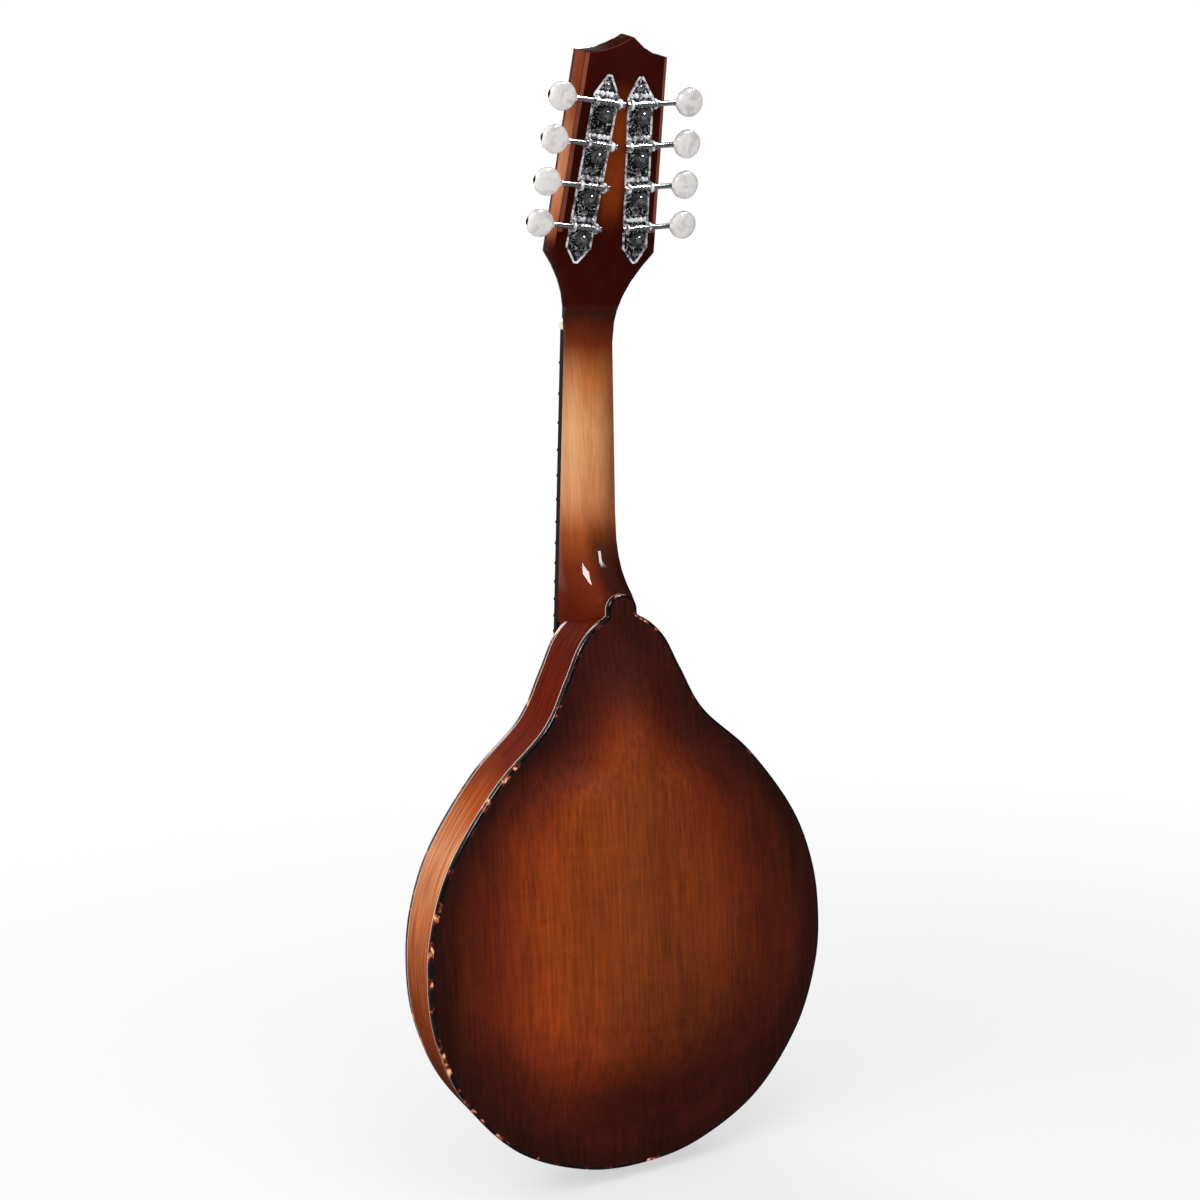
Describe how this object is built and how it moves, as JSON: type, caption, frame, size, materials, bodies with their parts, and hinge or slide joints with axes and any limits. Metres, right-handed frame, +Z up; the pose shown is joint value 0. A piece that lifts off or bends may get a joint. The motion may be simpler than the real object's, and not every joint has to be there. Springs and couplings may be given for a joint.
{
  "type": "a-style mandolin",
  "caption": "Teardrop-bodied mandolin with carved arched plates, f-holes, adjustable bridge, sliding tailpiece cover and worm-geared tuners.",
  "frame": {"origin": "centre of the end pin's flat outer face, the lowest point of the instrument", "axes": "+Z up the body towards the headstock, -Y out of the soundboard, +Y out of the back, +X to the treble side"},
  "size_m": [0.264, 0.1141, 0.6763],
  "materials": {
    "spruce_sunburst": "gloss sunburst lacquer over spruce",
    "back_sunburst": "satin brown sunburst over mahogany",
    "rib_mahogany": "satin red-brown mahogany",
    "neck_mahogany": "satin mahogany, shaded dark at both ends",
    "tortoiseshell_binding": "black-brown with amber flecks",
    "inner_spruce": "bare",
    "black_board": "oiled black",
    "rosewood": "oiled",
    "bone": "polished off-white",
    "chrome": "polished",
    "steel": "plain",
    "brass": "plain",
    "phosphor_bronze": "wound",
    "pearl_button": "pearly white",
    "black_plastic": "glossy black"
  },
  "bodies": {
    "instrument": {"soundboard": "spruce_sunburst", "back_plate": "back_sunburst", "ribs": "rib_mahogany", "top_binding": "tortoiseshell_binding", "back_binding": "tortoiseshell_binding", "neck_block": "inner_spruce", "tail_block": "inner_spruce", "top_lining_bass": "inner_spruce", "top_lining_treble": "inner_spruce", "back_lining_bass": "inner_spruce", "back_lining_treble": "inner_spruce", "tone_bar_bass": "inner_spruce", "tone_bar_treble": "inner_spruce", "neck": "neck_mahogany", "truss_rod": "steel", "fingerboard": "black_board", "nut": "bone", "head_overlay": "black_plastic", "truss_rod_cover": "black_plastic", "tuner_plate_bass": "chrome", "tuner_plate_treble": "chrome", "bridge_base": "rosewood", "tailpiece": "chrome", "end_pin": "black_plastic", "string_g_1": "phosphor_bronze", "string_g_2": "phosphor_bronze", "string_d_1": "phosphor_bronze", "string_d_2": "phosphor_bronze", "string_a_1": "steel", "string_a_2": "steel", "string_e_1": "steel", "string_e_2": "steel"},
    "tuner_key_bass_1": {"key_shaft_bass_1": "steel", "tuner_button_bass_1": "pearl_button"},
    "string_post_bass_1": {"tuner_post_bass_1": "brass"},
    "tuner_key_bass_2": {"key_shaft_bass_2": "steel", "tuner_button_bass_2": "pearl_button"},
    "string_post_bass_2": {"tuner_post_bass_2": "brass"},
    "tuner_key_bass_3": {"key_shaft_bass_3": "steel", "tuner_button_bass_3": "pearl_button"},
    "string_post_bass_3": {"tuner_post_bass_3": "brass"},
    "tuner_key_bass_4": {"key_shaft_bass_4": "steel", "tuner_button_bass_4": "pearl_button"},
    "string_post_bass_4": {"tuner_post_bass_4": "brass"},
    "tuner_key_treble_1": {"key_shaft_treble_1": "steel", "tuner_button_treble_1": "pearl_button"},
    "string_post_treble_1": {"tuner_post_treble_1": "brass"},
    "tuner_key_treble_2": {"key_shaft_treble_2": "steel", "tuner_button_treble_2": "pearl_button"},
    "string_post_treble_2": {"tuner_post_treble_2": "brass"},
    "tuner_key_treble_3": {"key_shaft_treble_3": "steel", "tuner_button_treble_3": "pearl_button"},
    "string_post_treble_3": {"tuner_post_treble_3": "brass"},
    "tuner_key_treble_4": {"key_shaft_treble_4": "steel", "tuner_button_treble_4": "pearl_button"},
    "string_post_treble_4": {"tuner_post_treble_4": "brass"},
    "saddle": {"bridge_saddle": "rosewood"},
    "wheel_bass": {"bridge_thumbwheel_bass": "brass"},
    "wheel_treble": {"bridge_thumbwheel_treble": "brass"},
    "cover": {"tailpiece_cover": "chrome"}
  },
  "joints": [
    {"name": "turn_key_bass_1", "type": "hinge", "parent": "instrument", "child": "tuner_key_bass_1", "pos_m": [-0.017, 0.02635, 0.57188], "axis": [0.996, -0.03, -0.0837], "continuous": true},
    {"name": "turn_post_bass_1", "type": "hinge", "parent": "instrument", "child": "string_post_bass_1", "pos_m": [-0.01757, 0.0242, 0.56588], "axis": [0, 0.9415, -0.3371], "continuous": true},
    {"name": "turn_key_bass_2", "type": "hinge", "parent": "instrument", "child": "tuner_key_bass_2", "pos_m": [-0.01496, 0.03408, 0.59345], "axis": [0.996, -0.03, -0.0837], "continuous": true},
    {"name": "turn_post_bass_2", "type": "hinge", "parent": "instrument", "child": "string_post_bass_2", "pos_m": [-0.01552, 0.03193, 0.58745], "axis": [0, 0.9415, -0.3371], "continuous": true},
    {"name": "turn_key_bass_3", "type": "hinge", "parent": "instrument", "child": "tuner_key_bass_3", "pos_m": [-0.01291, 0.0418, 0.61502], "axis": [0.996, -0.03, -0.0837], "continuous": true},
    {"name": "turn_post_bass_3", "type": "hinge", "parent": "instrument", "child": "string_post_bass_3", "pos_m": [-0.01348, 0.03965, 0.60902], "axis": [0, 0.9415, -0.3371], "continuous": true},
    {"name": "turn_key_bass_4", "type": "hinge", "parent": "instrument", "child": "tuner_key_bass_4", "pos_m": [-0.01087, 0.04952, 0.63659], "axis": [0.996, -0.03, -0.0837], "continuous": true},
    {"name": "turn_post_bass_4", "type": "hinge", "parent": "instrument", "child": "string_post_bass_4", "pos_m": [-0.01144, 0.04737, 0.63059], "axis": [0, 0.9415, -0.3371], "continuous": true},
    {"name": "turn_key_treble_1", "type": "hinge", "parent": "instrument", "child": "tuner_key_treble_1", "pos_m": [0.017, 0.02635, 0.57188], "axis": [0.996, 0.03, 0.0837], "continuous": true},
    {"name": "turn_post_treble_1", "type": "hinge", "parent": "instrument", "child": "string_post_treble_1", "pos_m": [0.01757, 0.0242, 0.56588], "axis": [0, 0.9415, -0.3371], "continuous": true},
    {"name": "turn_key_treble_2", "type": "hinge", "parent": "instrument", "child": "tuner_key_treble_2", "pos_m": [0.01496, 0.03408, 0.59345], "axis": [0.996, 0.03, 0.0837], "continuous": true},
    {"name": "turn_post_treble_2", "type": "hinge", "parent": "instrument", "child": "string_post_treble_2", "pos_m": [0.01552, 0.03193, 0.58745], "axis": [0, 0.9415, -0.3371], "continuous": true},
    {"name": "turn_key_treble_3", "type": "hinge", "parent": "instrument", "child": "tuner_key_treble_3", "pos_m": [0.01291, 0.0418, 0.61502], "axis": [0.996, 0.03, 0.0837], "continuous": true},
    {"name": "turn_post_treble_3", "type": "hinge", "parent": "instrument", "child": "string_post_treble_3", "pos_m": [0.01348, 0.03965, 0.60902], "axis": [0, 0.9415, -0.3371], "continuous": true},
    {"name": "turn_key_treble_4", "type": "hinge", "parent": "instrument", "child": "tuner_key_treble_4", "pos_m": [0.01087, 0.04952, 0.63659], "axis": [0.996, 0.03, 0.0837], "continuous": true},
    {"name": "turn_post_treble_4", "type": "hinge", "parent": "instrument", "child": "string_post_treble_4", "pos_m": [0.01144, 0.04737, 0.63059], "axis": [0, 0.9415, -0.3371], "continuous": true},
    {"name": "turn_wheel_bass", "type": "hinge", "parent": "saddle", "child": "wheel_bass", "pos_m": [-0.036, -0.04724, 0.17183], "axis": [0, 1, 0], "range_deg": [0, 720]},
    {"name": "turn_wheel_treble", "type": "hinge", "parent": "saddle", "child": "wheel_treble", "pos_m": [0.036, -0.04724, 0.17183], "axis": [0, 1, 0], "range_deg": [0, 720]},
    {"name": "lower_saddle", "type": "slide", "parent": "instrument", "child": "saddle", "axis": [0, 1, 0], "range_m": [0, 0.0014]},
    {"name": "slide_cover", "type": "slide", "parent": "instrument", "child": "cover", "axis": [0, 0.1961, -0.9806], "range_m": [0, 0.06]}
  ],
  "couplings": [
    {"joint": "turn_post_bass_1", "follows": "turn_key_bass_1", "ratio": -0.076923},
    {"joint": "turn_post_bass_2", "follows": "turn_key_bass_2", "ratio": -0.076923},
    {"joint": "turn_post_bass_3", "follows": "turn_key_bass_3", "ratio": -0.076923},
    {"joint": "turn_post_bass_4", "follows": "turn_key_bass_4", "ratio": -0.076923},
    {"joint": "turn_post_treble_1", "follows": "turn_key_treble_1", "ratio": -0.076923},
    {"joint": "turn_post_treble_2", "follows": "turn_key_treble_2", "ratio": -0.076923},
    {"joint": "turn_post_treble_3", "follows": "turn_key_treble_3", "ratio": -0.076923},
    {"joint": "turn_post_treble_4", "follows": "turn_key_treble_4", "ratio": -0.076923},
    {"joint": "turn_wheel_bass", "follows": "lower_saddle", "rad_per_m": 8976},
    {"joint": "turn_wheel_treble", "follows": "lower_saddle", "rad_per_m": 8976}
  ]
}
